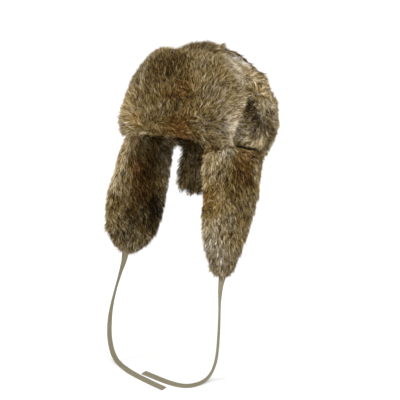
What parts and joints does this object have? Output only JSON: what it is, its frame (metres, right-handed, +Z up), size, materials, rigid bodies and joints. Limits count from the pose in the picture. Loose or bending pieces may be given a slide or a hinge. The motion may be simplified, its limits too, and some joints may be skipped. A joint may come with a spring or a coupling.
{
  "type": "trooper hat",
  "caption": "Deep brown fur hat with a turned-up front flap, hanging ear flaps, a short neck flap and a tape tie on each ear flap.",
  "frame": {"origin": "middle of the head opening, in the plane of the crown's rim", "axes": "+Z up as worn, -Y the way the wearer looks, +X to the wearer's left"},
  "size_m": [0.2555, 0.3263, 0.544],
  "materials": {
    "hide": "tanned skin side, suede",
    "crown_fur": "deep rabbit fur, grey brown",
    "front_fur": "deep rabbit fur, golden brown",
    "ear_fur": "deep rabbit fur, mixed brown",
    "tape": "matt cotton twill tape"
  },
  "bodies": {
    "root": {"crown": "hide", "crown_fur": "crown_fur", "front_flap": "front_fur", "side_band": "crown_fur", "ear_flap_left": "ear_fur", "ear_flap_right": "ear_fur", "neck_flap": "ear_fur", "tie_left": "tape", "tie_right": "tape"}
  },
  "joints": []
}
